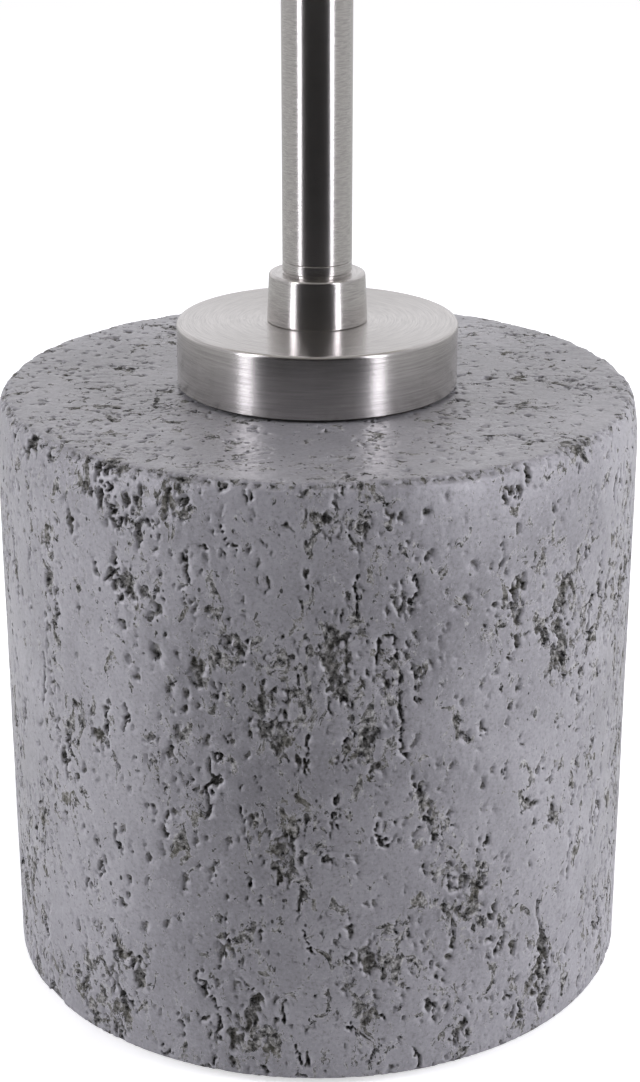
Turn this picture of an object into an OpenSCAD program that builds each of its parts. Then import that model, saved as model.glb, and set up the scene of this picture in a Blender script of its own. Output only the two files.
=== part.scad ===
// Table lamp: cast-concrete drum, brushed nickel disc, collar and stem, fabric drum shade on a harp.
// Millimetres, +Z up. The origin is on the floor at the middle of the drum. The front faces -Y,
// the cord inlet is at the back on +Y, and the harp stands in the XZ plane.

/* [Concrete drum] */
// Outside diameter of the drum
body_d = 178; // [140:1:220]
// Height of the drum without its feet
body_h = 168; // [130:1:210]
// Thickness of the drum's top
body_top_t = 20; // [12:1:30]
// Width of the rim that the feet are stuck to
rim_w = 13; // [12:0.5:16]
// Width of the ledge that the clamp plate pulls against
ledge_w = 6; // [4:0.5:10]
// How far the shoulder pulls in at the top edge
shoulder_in = 2; // [1:0.5:3]
// Height of the pulled-in shoulder
shoulder_h = 15; // [8:1:20]
// Rounding of the bottom edge
bottom_round = 1.5; // [1:0.5:4]

/* [Feet] */
// Diameter of a rubber foot
foot_d = 9; // [7:0.5:11]
// Height of a rubber foot
foot_h = 1.5; // [1:0.5:6]
// Number of feet
foot_n = 4; // [3:1:6]

/* [Centre pipe and its nut] */
// Outside diameter of the threaded pipe
pipe_d = 10.2; // [8.5:0.1:12.3]
// Bore of the threaded pipe, where the cord runs
pipe_bore_d = 6.8; // [5.6:0.1:8.2]
// Thickness of the clamp plate
plate_t = 2; // [1.5:0.5:3]
// Diameter of the flat washer
flat_washer_d = 28; // [22:1:40]
// Thickness of the flat washer
flat_washer_t = 1.5; // [1:0.5:2.5]
// Diameter of the split lock washer
lock_washer_d = 18; // [16:0.5:21]
// Thickness of the split lock washer
lock_washer_t = 2; // [1.5:0.5:3]
// Width across the flats of the hex nut
nut_flats = 16; // [15:0.5:21]
// Height of the hex nut
nut_h = 5; // [4:0.5:7]
// Length of pipe that shows below the nut
pipe_end_out = 1.5; // [1:0.5:3]

/* [Cord inlet] */
// Height of the inlet's axis above the ledge
inlet_up = 16; // [13:1:40]
// Bore of the bush that the cord passes through
bush_bore_d = 7.6; // [6.6:0.2:8.6]
// Diameter of the bush's threaded shank
bush_shank_d = 12; // [11:0.5:14]
// Diameter of the bush's flange
bush_flange_d = 19; // [17:0.5:22]
// Thickness of the bush's flange
bush_flange_t = 2.5; // [2:0.5:4]
// Depth of the flat seat that is cast for the flange
spot_depth = 1.4; // [1.2:0.1:2.5]
// Width across the flats of the bush's locking nut
bush_nut_flats = 17; // [16:0.5:20]
// Thickness of the bush's locking nut
bush_nut_t = 4; // [3:0.5:5]

/* [Disc, collar and stem] */
// Diameter of the nickel disc
disc_d = 77.4; // [60:0.2:95]
// Height of the nickel disc
disc_h = 17; // [12:0.5:24]
// Wall of the nickel disc
disc_wall = 2; // [1.5:0.25:3]
// Rounding of the disc's top edge
disc_round = 1; // [0.8:0.2:2.4]
// Thickness of the fibre washer under the disc
fibre_t = 0.8; // [0.3:0.1:1.2]
// How far the fibre washer stays inside the disc's edge
fibre_in = 1.2; // [0.8:0.1:3]
// Diameter of the collar at its foot
collar_d = 27.6; // [25:0.2:34]
// Diameter of the collar at its top
collar_top_d = 26.4; // [24.2:0.2:32]
// Height of the collar
collar_h = 13.4; // [8:0.2:20]
// Rounding of the collar's top edge
collar_round = 0.8; // [0.4:0.2:1.2]
// Rounding of the collar's bottom edge
collar_foot_round = 0.4; // [0.2:0.1:0.8]
// Height of the short ring below the stem tube
ring_h = 3.5; // [2.5:0.5:6]
// Depth of the fine groove at each end of the ring
ring_groove = 0.35; // [0.2:0.05:0.6]
// Diameter of the stem tube
stem_d = 19; // [17:0.5:22]
// Wall of the stem tube
stem_wall = 1.2; // [1:0.1:1.6]
// Length of the stem tube
stem_len = 200; // [160:1:280]
// Length of the spigots that centre the stem tube
spigot_h = 6; // [4:0.5:9]
// Diameter of the cap on the stem tube
stem_cap_d = 24; // [22.5:0.5:30]
// Height of the cap on the stem tube
stem_cap_h = 5; // [4:0.5:8]

/* [Harp] */
// Distance between the saddle's two posts
saddle_span = 54; // [50:1:64]
// Width of the saddle's strip
saddle_w = 13; // [12.5:0.5:18]
// Thickness of the saddle's strip
saddle_t = 2; // [1.5:0.5:3]
// Height of the ferrules at the saddle's ends
ferrule_h = 8; // [6:0.5:12]
// Diameter of the ferrules and the lifting sleeves
sleeve_d = 7; // [6:0.5:9]
// Length of a lifting sleeve
sleeve_h = 14; // [12:0.5:18]
// How far a sleeve lifts
sleeve_lift = 9; // [8:0.5:11]
// Diameter of the harp's wire
wire_d = 3.2; // [2.6:0.1:4]
// Width of the harp at its widest, between wire centres
harp_w = 96; // [88:1:110]
// Height of the harp, from the saddle to the shade's seat
harp_h = 205; // [190:1:240]
// Radius of the bends that carry the harp outwards
bend_r = 26; // [22:1:32]
// Diameter of the seat at the top of the harp
seat_d = 15; // [13:0.5:19]
// Thickness of the seat at the top of the harp
seat_t = 2.5; // [2:0.5:4]
// Diameter of the threaded stud above the seat
stud_d = 6.2; // [5.6:0.2:7.4]
// Height of the threaded stud
stud_h = 14; // [12:0.5:17]

/* [Socket and switch] */
// Outside diameter of the socket's cap
socket_d = 34; // [33:0.5:41]
// Height of the socket's cap
socket_cap_h = 21; // [18:0.5:26]
// Height of the socket's shell
shell_h = 44; // [41:0.5:52]
// Thickness of the socket's sheet metal
sheet_t = 0.7; // [0.5:0.1:1]
// Thickness of the insulating sleeve
liner_t = 0.8; // [0.6:0.1:1]
// Height of the moulded interior
interior_h = 18; // [16:0.5:22]
// Bore of the screw shell
screw_bore_d = 26.8; // [26.6:0.1:27.2]
// Depth of the screw shell
screw_h = 24; // [20:0.5:28]
// Diameter of a terminal screw's head
terminal_d = 7; // [6:0.5:8]
// Diameter of the switch's shaft
shaft_d = 4; // [3:0.2:5]
// Diameter of the switch's knob
knob_d = 16; // [12:0.5:20]
// Length of the switch's knob
knob_len = 13; // [10:0.5:18]
// Gap between the socket and the knob
knob_gap = 5; // [4:0.5:8]

/* [Bulb] */
// Diameter of the bulb's screw base
base_d = 26.2; // [25.8:0.1:26.2]
// Height of the bulb's screw base
base_h = 25; // [22:0.5:28]
// Diameter of the bulb's glass
glass_d = 60; // [50:1:68]
// Height of the whole bulb
bulb_h = 108; // [96:1:120]
// Wall of the bulb's glass
glass_t = 1; // [0.6:0.2:1.4]

/* [Shade] */
// Bottom diameter of the shade
shade_d = 356; // [300:1:420]
// Top diameter of the shade
shade_top_d = 330; // [280:1:400]
// Height of the shade
shade_h = 230; // [190:1:270]
// Thickness of the shade's fabric
fabric_t = 0.8; // [0.6:0.1:1.2]
// Thickness of the shade's lining
lining_t = 0.8; // [0.6:0.1:1.2]
// Diameter of the shade's ring wires
ring_wire_d = 3.2; // [2.6:0.2:4]
// Height of the folded trim at the shade's edges
trim_h = 9; // [6:0.5:14]
// Thickness of the folded trim
trim_t = 0.5; // [0.4:0.1:0.8]
// Diameter of the spider's hub
hub_d = 26; // [22:1:34]
// Thickness of the spider's hub
hub_t = 2; // [1.5:0.5:3]
// How far the hub sits below the shade's top edge
hub_drop = 13; // [8:1:20]
// Diameter of the finial's ball
finial_d = 17; // [13:0.5:22]

/* [Hidden] */
$fn = 96;

// Clearances
pipe_gap = 0.3;      // holes round the pipe
thread_gap = 0.05;   // screwed and pressed pieces
plate_gap = 0.6;     // clamp plate in its recess
spigot_gap = 0.1;    // spigots in the stem tube
sleeve_gap = 0.3;    // lifting sleeves on the wire
turn_gap = 0.1;      // faces that turn on each other
stud_gap = 0.4;      // spider hub round the stud
run_gap = 0.06;      // shaft and stud in their bores
sheet_gap = 0.15;    // nested sheet metal and sleeves

// Drum and the stack below it
body_r = body_d/2;
cavity_r = body_r - rim_w - ledge_w;
recess_r = body_r - rim_w;
recess_spare = 1;
recess_h = plate_t + flat_washer_t + lock_washer_t + nut_h + pipe_end_out + recess_spare;
z_body = foot_h;
z_ledge = z_body + recess_h;
z_plate = z_ledge - plate_t;
z_flat_washer = z_plate - flat_washer_t;
z_lock_washer = z_flat_washer - lock_washer_t;
z_nut = z_lock_washer - nut_h;
z_top = z_body + body_h;
foot_ring_r = body_r - bottom_round - (rim_w - bottom_round)/2;
pipe_hole_d = pipe_d + 2*pipe_gap;
thread_bore_d = pipe_d + 2*thread_gap;

// Cord inlet
z_inlet = z_ledge + inlet_up;
y_seat = body_r - spot_depth;
bush_nut_d = bush_nut_flats/cos(30);
y_bush_nut = sqrt(pow(cavity_r, 2) - pow(bush_nut_d/2, 2)) - turn_gap;
bush_end_out = 1.5;

// Disc, collar and stem
z_disc = z_top + fibre_t;
z_collar = z_disc + disc_h;
z_ring = z_collar + collar_h;
z_stem = z_ring + ring_h;
z_stem_cap = z_stem + stem_len;
z_saddle = z_stem_cap + stem_cap_h;
spigot_d = stem_d - 2*stem_wall - 2*spigot_gap;

// Harp
z_socket = z_saddle + saddle_t;
z_sleeve = z_socket + ferrule_h + turn_gap;
post_h = sleeve_h/2;
z_leg = z_sleeve + post_h + turn_gap;
z_bend = z_sleeve + sleeve_h + sleeve_lift + 2;
bend_a = acos(1 - (harp_w - saddle_span)/(4*bend_r));
z_side = z_bend + 2*bend_r*sin(bend_a);
z_seat = z_socket + harp_h - seat_t;
z_bow = z_seat - wire_d/4 - harp_w/2;
crimp_t = 0.12;
z_hub = z_seat + seat_t + turn_gap;

// Socket, switch and bulb
neck_d = pipe_d + 6;
neck_h = 7;
shell_d = socket_d - 2*sheet_t - 2*sheet_gap;
liner_d = shell_d - 2*sheet_t - 2*sheet_gap;
interior_d = liner_d - 2*liner_t - 2*sheet_gap;
shell_over = 6;
z_shell = z_socket + socket_cap_h - shell_over;
z_interior = z_shell + 2;
z_screw = z_interior + interior_h;
contact_t = 1.2;
z_bulb = z_screw + contact_t + sheet_t + sleeve_gap;
tip_h = 2;
z_shaft = z_interior + interior_h/2;
shaft_in = 8;
shaft_hole_d = shaft_d + 3;
y_knob = -(socket_d/2 + knob_gap);
terminal_depth = 3.2;
terminal_x = interior_d/2 - terminal_depth;

// Shade
z_shade_top = z_hub + hub_drop;
z_shade = z_shade_top - shade_h;
arm_a = [90, 210, 330];
arm_flat_r = shade_top_d/2 - 24;
hub_bore_d = stud_d + 2*stud_gap;
finial_bore_d = stud_d + 2*run_gap;
finial_base_h = 4;
stud_left = stud_h - hub_t - 2*turn_gap;

concrete = "#8f8e93";
nickel = "#b9b6b1";
steel = "#8b8d90";
brass = "#b5a067";
black = "#232325";
linen = "#e9e4d8";

// Points of an arc round [x, y] from angle a0 to a1 in n steps
function arc(x, y, r, a0, a1, n) =
    [for (i = [0:n]) [x + r*cos(a0 + (a1 - a0)*i/n), y + r*sin(a0 + (a1 - a0)*i/n)]];

// Radius of the shade's outside at height z
function shade_r(z) = shade_d/2 + (shade_top_d - shade_d)/2*(z - z_shade)/shade_h;

// A flat ring
module ring(outer_d, inner_d, h) {
    difference() {
        cylinder(d = outer_d, h = h);
        translate([0, 0, -1])
            cylinder(d = inner_d, h = h + 2);
    }
}

// A hexagon nut with a round bore
module hex_nut(flats, bore_d, h) {
    difference() {
        cylinder(d = flats/cos(30), h = h, $fn = 6);
        translate([0, 0, -1])
            cylinder(d = bore_d, h = h + 2);
    }
}

// A conical wall between two heights, from r_in inside the shade's line to r_out inside it
module shade_wall(z0, z1, r_out, r_in) {
    rotate_extrude($fn = 180)
        polygon([
            [shade_r(z0) - r_out, z0],
            [shade_r(z1) - r_out, z1],
            [shade_r(z1) - r_in, z1],
            [shade_r(z0) - r_in, z0]
        ]);
}

// A bend of wire in the XZ plane, round the origin, from +X upwards through angle a
module wire_bend(r, a) {
    rotate([90, 0, 0])
        rotate_extrude(angle = a)
            translate([r, 0])
                circle(d = wire_d, $fn = 32);
}

module concrete_body() {
    bulge_r = (pow(shoulder_h, 2) + pow(shoulder_in, 2))/(2*shoulder_in);
    bulge_a = asin(shoulder_h/bulge_r);
    color(concrete)
        difference() {
            rotate_extrude($fn = 180)
                polygon(concat(
                    [[0, z_body]],
                    arc(body_r - bottom_round, z_body + bottom_round, bottom_round, -90, 0, 6),
                    arc(body_r - bulge_r, z_top - shoulder_h, bulge_r, 0, bulge_a, 6),
                    [[0, z_top]]
                ));
            translate([0, 0, z_body - 1])
                cylinder(r = recess_r, h = recess_h + 1);
            translate([0, 0, z_ledge - 1])
                cylinder(r = cavity_r, h = body_h - recess_h - body_top_t + 1);
            cylinder(d = pipe_hole_d, h = z_top + 1);
            translate([0, 0, z_inlet])
                rotate([-90, 0, 0]) {
                    cylinder(d = bush_shank_d + 2*pipe_gap, h = body_r + 1);
                    translate([0, 0, y_seat])
                        cylinder(d = bush_flange_d + 2*plate_gap, h = spot_depth + 1);
                }
        }
}

module feet() {
    color(black)
        for (i = [0:foot_n - 1])
            rotate([0, 0, 360*(i + 0.5)/foot_n])
                translate([foot_ring_r, 0, 0])
                    rotate_extrude($fn = 48)
                        polygon(concat(
                            [[0, 0]],
                            arc(foot_d/2 - foot_h/4, foot_h/4, foot_h/4, -90, 0, 4),
                            [[foot_d/2, foot_h], [0, foot_h]]
                        ));
}

module clamp_plate() {
    color(steel)
        translate([0, 0, z_plate])
            ring(2*(recess_r - plate_gap), pipe_hole_d, plate_t);
}

module flat_washer() {
    color(steel)
        translate([0, 0, z_flat_washer])
            ring(flat_washer_d, pipe_hole_d, flat_washer_t);
}

module lock_washer() {
    color(steel)
        translate([0, 0, z_lock_washer])
            difference() {
                ring(lock_washer_d, pipe_hole_d, lock_washer_t);
                rotate([0, 0, 30])
                    translate([0, -0.6, -1])
                        cube([lock_washer_d, 1.2, lock_washer_t + 2]);
            }
}

module bottom_nut() {
    color(steel)
        translate([0, 0, z_nut])
            hex_nut(nut_flats, thread_bore_d, nut_h);
}

module inlet_bush() {
    shank = y_seat - y_bush_nut + bush_nut_t + bush_end_out;
    color(black)
        translate([0, y_seat, z_inlet])
            rotate([-90, 0, 0])
                difference() {
                    union() {
                        rotate_extrude($fn = 64)
                            polygon(concat(
                                [[0, 0], [bush_flange_d/2, 0]],
                                arc(bush_flange_d/2 - 1, bush_flange_t - 1, 1, 0, 90, 4),
                                [[0, bush_flange_t]]
                            ));
                        translate([0, 0, -shank])
                            cylinder(d = bush_shank_d, h = shank + 1);
                    }
                    translate([0, 0, -shank - 1])
                        cylinder(d = bush_bore_d, h = shank + bush_flange_t + 2);
                }
}

module inlet_nut() {
    color(black)
        translate([0, y_bush_nut, z_inlet])
            rotate([90, 0, 0])
                hex_nut(bush_nut_flats, bush_shank_d + 2*thread_gap, bush_nut_t);
}

module centre_pipe() {
    color(steel)
        translate([0, 0, z_nut - pipe_end_out])
            ring(pipe_d, pipe_bore_d, z_socket + neck_h - z_nut + pipe_end_out);
}

module fibre_washer() {
    color(black)
        translate([0, 0, z_top])
            ring(disc_d - 2*fibre_in, pipe_hole_d, fibre_t);
}

module disc_cap() {
    color(nickel)
        translate([0, 0, z_disc])
            difference() {
                rotate_extrude($fn = 180)
                    polygon(concat(
                        [[0, 0], [disc_d/2, 0]],
                        arc(disc_d/2 - disc_round, disc_h - disc_round, disc_round, 0, 90, 6),
                        [[0, disc_h]]
                    ));
                translate([0, 0, -1])
                    ring(disc_d - 2*disc_wall, collar_d, disc_h - disc_wall - 0.5 + 1);
                translate([0, 0, -1])
                    cylinder(d = pipe_hole_d, h = disc_h + 2);
            }
}

module collar() {
    color(nickel)
        translate([0, 0, z_collar])
            difference() {
                rotate_extrude($fn = 128)
                    polygon(concat(
                        [[0, 0]],
                        arc(collar_d/2 - collar_foot_round, collar_foot_round, collar_foot_round, -90, 0, 4),
                        arc(collar_top_d/2 - collar_round, collar_h - collar_round, collar_round, 0, 90, 5),
                        [[0, collar_h]]
                    ));
                translate([0, 0, -1])
                    cylinder(d = pipe_hole_d, h = collar_h + 2);
            }
}

module seam_ring() {
    color(nickel)
        translate([0, 0, z_ring])
            difference() {
                rotate_extrude($fn = 128)
                    polygon([
                        [0, 0],
                        [stem_d/2 - ring_groove, 0],
                        [stem_d/2 - ring_groove, ring_groove],
                        [stem_d/2, 2*ring_groove],
                        [stem_d/2, ring_h - ring_groove],
                        [stem_d/2 - ring_groove, ring_h],
                        [spigot_d/2, ring_h],
                        [spigot_d/2, ring_h + spigot_h],
                        [0, ring_h + spigot_h]
                    ]);
                translate([0, 0, -1])
                    cylinder(d = pipe_hole_d, h = ring_h + spigot_h + 2);
            }
}

module stem_tube() {
    color(nickel)
        translate([0, 0, z_stem])
            ring(stem_d, stem_d - 2*stem_wall, stem_len);
}

module stem_cap() {
    color(nickel)
        translate([0, 0, z_stem_cap])
            difference() {
                rotate_extrude($fn = 128)
                    polygon(concat(
                        [[0, -spigot_h], [spigot_d/2, -spigot_h], [spigot_d/2, 0], [stem_cap_d/2, 0]],
                        arc(stem_cap_d/2 - 1.2, stem_cap_h - 1.2, 1.2, 0, 90, 5),
                        [[0, stem_cap_h]]
                    ));
                translate([0, 0, -spigot_h - 1])
                    cylinder(d = pipe_hole_d, h = spigot_h + stem_cap_h + 2);
            }
}

module harp_saddle() {
    color(nickel)
        difference() {
            union() {
                translate([-saddle_span/2, -saddle_w/2, z_saddle])
                    cube([saddle_span, saddle_w, saddle_t]);
                for (s = [-1, 1])
                    translate([s*saddle_span/2, 0, 0]) {
                        translate([0, 0, z_saddle])
                            cylinder(d = saddle_w, h = saddle_t);
                        translate([0, 0, z_socket])
                            cylinder(d = sleeve_d, h = ferrule_h);
                        translate([0, 0, z_socket + ferrule_h])
                            cylinder(d = wire_d, h = post_h + turn_gap, $fn = 32);
                    }
            }
            translate([0, 0, z_saddle - 1])
                cylinder(d = pipe_hole_d, h = saddle_t + 2);
        }
}

// One side of the harp: straight leg, two bends outwards, straight side. Thin crimps cover the joints
module harp_side() {
    translate([saddle_span/2, 0, z_leg])
        cylinder(d = wire_d, h = z_bend - z_leg, $fn = 32);
    translate([saddle_span/2 + bend_r, 0, z_bend])
        mirror([1, 0, 0])
            wire_bend(bend_r, bend_a);
    translate([(harp_w + saddle_span)/4, 0, (z_bend + z_side)/2])
        rotate([0, bend_a, 0])
            cylinder(d = wire_d + 2*crimp_t, h = 2*wire_d, center = true, $fn = 32);
    translate([harp_w/2 - bend_r, 0, z_side])
        mirror([0, 0, 1])
            wire_bend(bend_r, bend_a);
    translate([harp_w/2, 0, z_side])
        cylinder(d = wire_d, h = z_bow - z_side, $fn = 32);
    translate([harp_w/2, 0, z_bow])
        cylinder(d = wire_d + 2*crimp_t, h = 2*wire_d, center = true, $fn = 32);
}

module harp() {
    color(nickel)
        union() {
            harp_side();
            mirror([1, 0, 0])
                harp_side();
            translate([0, 0, z_bow])
                wire_bend(harp_w/2, 180);
            translate([0, 0, z_seat])
                cylinder(d = seat_d, h = seat_t);
            translate([0, 0, z_seat + seat_t])
                cylinder(d = stud_d, h = stud_h);
        }
}

module harp_sleeve(side) {
    color(nickel)
        translate([side*saddle_span/2, 0, z_sleeve])
            difference() {
                rotate_extrude($fn = 48)
                    polygon(concat(
                        [[0, 0], [sleeve_d/2, 0]],
                        arc(sleeve_d/2 - 0.8, sleeve_h - 0.8, 0.8, 0, 90, 4),
                        [[0, sleeve_h]]
                    ));
                translate([0, 0, -1])
                    cylinder(d = wire_d + 2*sleeve_gap, h = sleeve_h + 2);
            }
}

module harp_sleeve_left() {
    harp_sleeve(-1);
}

module harp_sleeve_right() {
    harp_sleeve(1);
}

module socket_cap() {
    flare = (socket_d - neck_d)/2;
    color(brass)
        translate([0, 0, z_socket])
            difference() {
                rotate_extrude($fn = 128)
                    polygon(concat(
                        [[0, 0], [neck_d/2, 0]],
                        arc(neck_d/2, neck_h/2 + flare, flare, -90, 0, 8),
                        [[socket_d/2, socket_cap_h], [0, socket_cap_h]]
                    ));
                rotate_extrude($fn = 128)
                    polygon(concat(
                        [[0, neck_h]],
                        arc(neck_d/2, neck_h/2 + flare, flare - sheet_t, -60, 0, 6),
                        [[socket_d/2 - sheet_t, socket_cap_h + 1], [0, socket_cap_h + 1]]
                    ));
                translate([0, 0, -1])
                    cylinder(d = thread_bore_d, h = socket_cap_h);
            }
}

// The hole that the switch's shaft passes through, cut along -Y
module shaft_hole(d) {
    translate([0, 0, z_shaft])
        rotate([90, 0, 0])
            cylinder(d = d, h = socket_d);
}

module socket_shell() {
    color(brass)
        difference() {
            translate([0, 0, z_shell])
                ring(shell_d, shell_d - 2*sheet_t, shell_h);
            shaft_hole(shaft_hole_d);
        }
}

module socket_liner() {
    color("#3a2f28")
        difference() {
            translate([0, 0, z_shell])
                ring(liner_d, liner_d - 2*liner_t, shell_h - 1);
            shaft_hole(shaft_hole_d);
        }
}

module socket_interior() {
    color(black)
        difference() {
            translate([0, 0, z_interior])
                cylinder(d = interior_d, h = interior_h);
            for (s = [-1, 1]) {
                translate([s*(terminal_x + terminal_depth), 0, z_shaft])
                    cube([2*terminal_depth, terminal_d + 2, terminal_d + 2], center = true);
                translate([0, 0, z_shaft])
                    rotate([0, s*90, 0])
                        translate([0, 0, terminal_x - 6])
                            cylinder(d = 3.5, h = 7, $fn = 32);
            }
            translate([0, -interior_d/2 + shaft_in, z_shaft])
                rotate([90, 0, 0])
                    cylinder(d = shaft_d + 2*run_gap, h = shaft_in + 1, $fn = 48);
        }
}

module screw_shell() {
    color("#c9c9c6")
        translate([0, 0, z_screw])
            difference() {
                cylinder(d = screw_bore_d + 2*sheet_t, h = screw_h);
                translate([0, 0, sheet_t])
                    cylinder(d = screw_bore_d, h = screw_h);
                translate([0, 0, -1])
                    cylinder(d = screw_bore_d/2, h = 3);
            }
}

module centre_contact() {
    color(brass)
        translate([0, 0, z_screw])
            cylinder(d = 8, h = contact_t + sheet_t);
}

module terminal_screws() {
    color(brass)
        for (s = [-1, 1])
            translate([0, 0, z_shaft])
                rotate([0, s*90, 0])
                    difference() {
                        union() {
                            translate([0, 0, terminal_x])
                                cylinder(d = terminal_d, h = 2, $fn = 48);
                            translate([0, 0, terminal_x - 5.5])
                                cylinder(d = 3.4, h = 6, $fn = 32);
                        }
                        translate([-0.5, -terminal_d, terminal_x + 1.2])
                            cube([1, 2*terminal_d, 2]);
                    }
}

module switch_shaft() {
    y_in = -interior_d/2 + shaft_in - 0.5;
    color(brass)
        translate([0, y_in, z_shaft])
            rotate([90, 0, 0])
                cylinder(d = shaft_d, h = y_in - y_knob + knob_len - 3, $fn = 48);
}

module switch_knob() {
    flutes = 14;
    color(black)
        translate([0, y_knob, z_shaft])
            rotate([90, 0, 0])
                difference() {
                    rotate_extrude($fn = 64)
                        polygon(concat(
                            [[0, 0], [knob_d/2 - 1, 0], [knob_d/2, 1]],
                            arc(knob_d/2 - 1.5, knob_len - 1.5, 1.5, 0, 90, 4),
                            [[0, knob_len]]
                        ));
                    for (i = [0:flutes - 1])
                        rotate([0, 0, 360*i/flutes])
                            translate([knob_d/2 + 0.6, 0, 2])
                                cylinder(d = 2.6, h = knob_len, $fn = 24);
                    translate([0, 0, -1])
                        cylinder(d = shaft_d + 2*thread_gap, h = knob_len - 2, $fn = 48);
                }
}

module bulb_base() {
    color("#c9c9c6")
        translate([0, 0, z_bulb + tip_h])
            rotate_extrude($fn = 96)
                polygon([
                    [0, 0],
                    [base_d/2 - 5, 0],
                    [base_d/2, 4],
                    [base_d/2, base_h - tip_h],
                    [0, base_h - tip_h]
                ]);
}

module bulb_tip() {
    color(steel)
        translate([0, 0, z_bulb])
            cylinder(d = 7, h = tip_h, $fn = 48);
}

module bulb_glass() {
    ball_r = glass_d/2;
    ball_z = bulb_h - ball_r;
    neck_r = base_d/2 - 0.4;
    outline = concat(
        [[neck_r, base_h], [neck_r, base_h + 4]],
        [for (i = [1:7]) [
            neck_r + (ball_r*cos(-18) - neck_r)*(1 - cos(180*i/8))/2,
            base_h + 4 + (ball_z + ball_r*sin(-18) - base_h - 4)*i/8
        ]],
        arc(0, ball_z, ball_r, -18, 90, 14)
    );
    color([0.95, 0.94, 0.9, 0.8])
        translate([0, 0, z_bulb])
            difference() {
                rotate_extrude($fn = 96)
                    polygon(concat([[0, base_h]], outline));
                translate([0, 0, base_h + glass_t])
                    cylinder(r = neck_r - glass_t, h = ball_z - base_h - glass_t);
                translate([0, 0, ball_z])
                    sphere(r = ball_r - glass_t, $fn = 96);
            }
}

module shade_fabric() {
    color(linen)
        shade_wall(z_shade + trim_t, z_shade_top - trim_t, trim_t, trim_t + fabric_t);
}

module shade_lining() {
    line_r = trim_t + fabric_t;
    color("white")
        shade_wall(z_shade + trim_t, z_shade_top - trim_t, line_r, line_r + lining_t);
}

// A ring wire that lies inside the lining at height z
module shade_ring(z) {
    ring_in = trim_t + fabric_t + lining_t + 2*turn_gap + ring_wire_d/2;
    translate([0, 0, z])
        rotate_extrude($fn = 180)
            translate([shade_r(z) - ring_in, 0])
                circle(d = ring_wire_d, $fn = 32);
}

module shade_top_ring() {
    color(nickel)
        shade_ring(z_shade_top - trim_t - ring_wire_d/2);
}

module shade_bottom_ring() {
    color(nickel)
        shade_ring(z_shade + trim_t + ring_wire_d/2);
}

module spider_arms() {
    z_arm = z_hub + hub_t/2;
    z_end = z_shade_top - trim_t - ring_wire_d/2;
    end_r = shade_r(z_end) - trim_t - fabric_t - lining_t - ring_wire_d/2 - 1;
    rise_a = atan2(z_end - z_arm, end_r - arm_flat_r);
    color(nickel)
        for (a = arm_a)
            rotate([0, 0, a]) {
                translate([hub_d/2 - 2, 0, z_arm])
                    rotate([0, 90, 0])
                        cylinder(d = wire_d, h = arm_flat_r - hub_d/2 + 2, $fn = 32);
                translate([arm_flat_r, 0, z_arm])
                    sphere(d = wire_d, $fn = 32);
                translate([arm_flat_r, 0, z_arm])
                    rotate([0, 90 - rise_a, 0])
                        cylinder(d = wire_d, h = (end_r - arm_flat_r)/cos(rise_a), $fn = 32);
            }
}

module spider_hub() {
    color(nickel)
        translate([0, 0, z_hub])
            ring(hub_d, hub_bore_d, hub_t);
}

// A folded trim: a band outside the fabric and a lip over its edge
module trim_band(z_edge, up) {
    z_far = z_edge - up*trim_h;
    z_lip = z_edge - up*trim_t;
    lip_in = trim_t + fabric_t + lining_t;
    rotate_extrude($fn = 180)
        polygon([
            [shade_r(z_far), z_far],
            [shade_r(z_edge), z_edge],
            [shade_r(z_edge) - lip_in, z_edge],
            [shade_r(z_lip) - lip_in, z_lip],
            [shade_r(z_lip) - trim_t, z_lip],
            [shade_r(z_far) - trim_t, z_far]
        ]);
}

module shade_top_trim() {
    color(linen)
        trim_band(z_shade_top, 1);
}

module shade_bottom_trim() {
    color(linen)
        trim_band(z_shade, -1);
}

module finial() {
    z_ball = finial_base_h + finial_d/2 + 1;
    color(nickel)
        translate([0, 0, z_hub + hub_t + turn_gap])
            difference() {
                union() {
                    cylinder(d = seat_d - 1, h = finial_base_h);
                    cylinder(d = stud_d + 3.2, h = z_ball);
                    translate([0, 0, z_ball])
                        sphere(d = finial_d);
                }
                translate([0, 0, -1])
                    cylinder(d = finial_bore_d, h = stud_left + 2);
            }
}

concrete_body();
feet();
clamp_plate();
flat_washer();
lock_washer();
bottom_nut();
inlet_bush();
inlet_nut();
centre_pipe();
fibre_washer();
disc_cap();
collar();
seam_ring();
stem_tube();
stem_cap();
harp_saddle();
harp();
harp_sleeve_left();
harp_sleeve_right();
socket_cap();
socket_shell();
socket_liner();
socket_interior();
screw_shell();
centre_contact();
terminal_screws();
switch_shaft();
switch_knob();
bulb_base();
bulb_tip();
bulb_glass();
shade_fabric();
shade_lining();
shade_top_ring();
shade_bottom_ring();
spider_arms();
spider_hub();
shade_top_trim();
shade_bottom_trim();
finial();
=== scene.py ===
"""Table lamp: pitted cast concrete drum, brushed nickel disc, collar and stem, linen shade on a harp."""
import math

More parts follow.
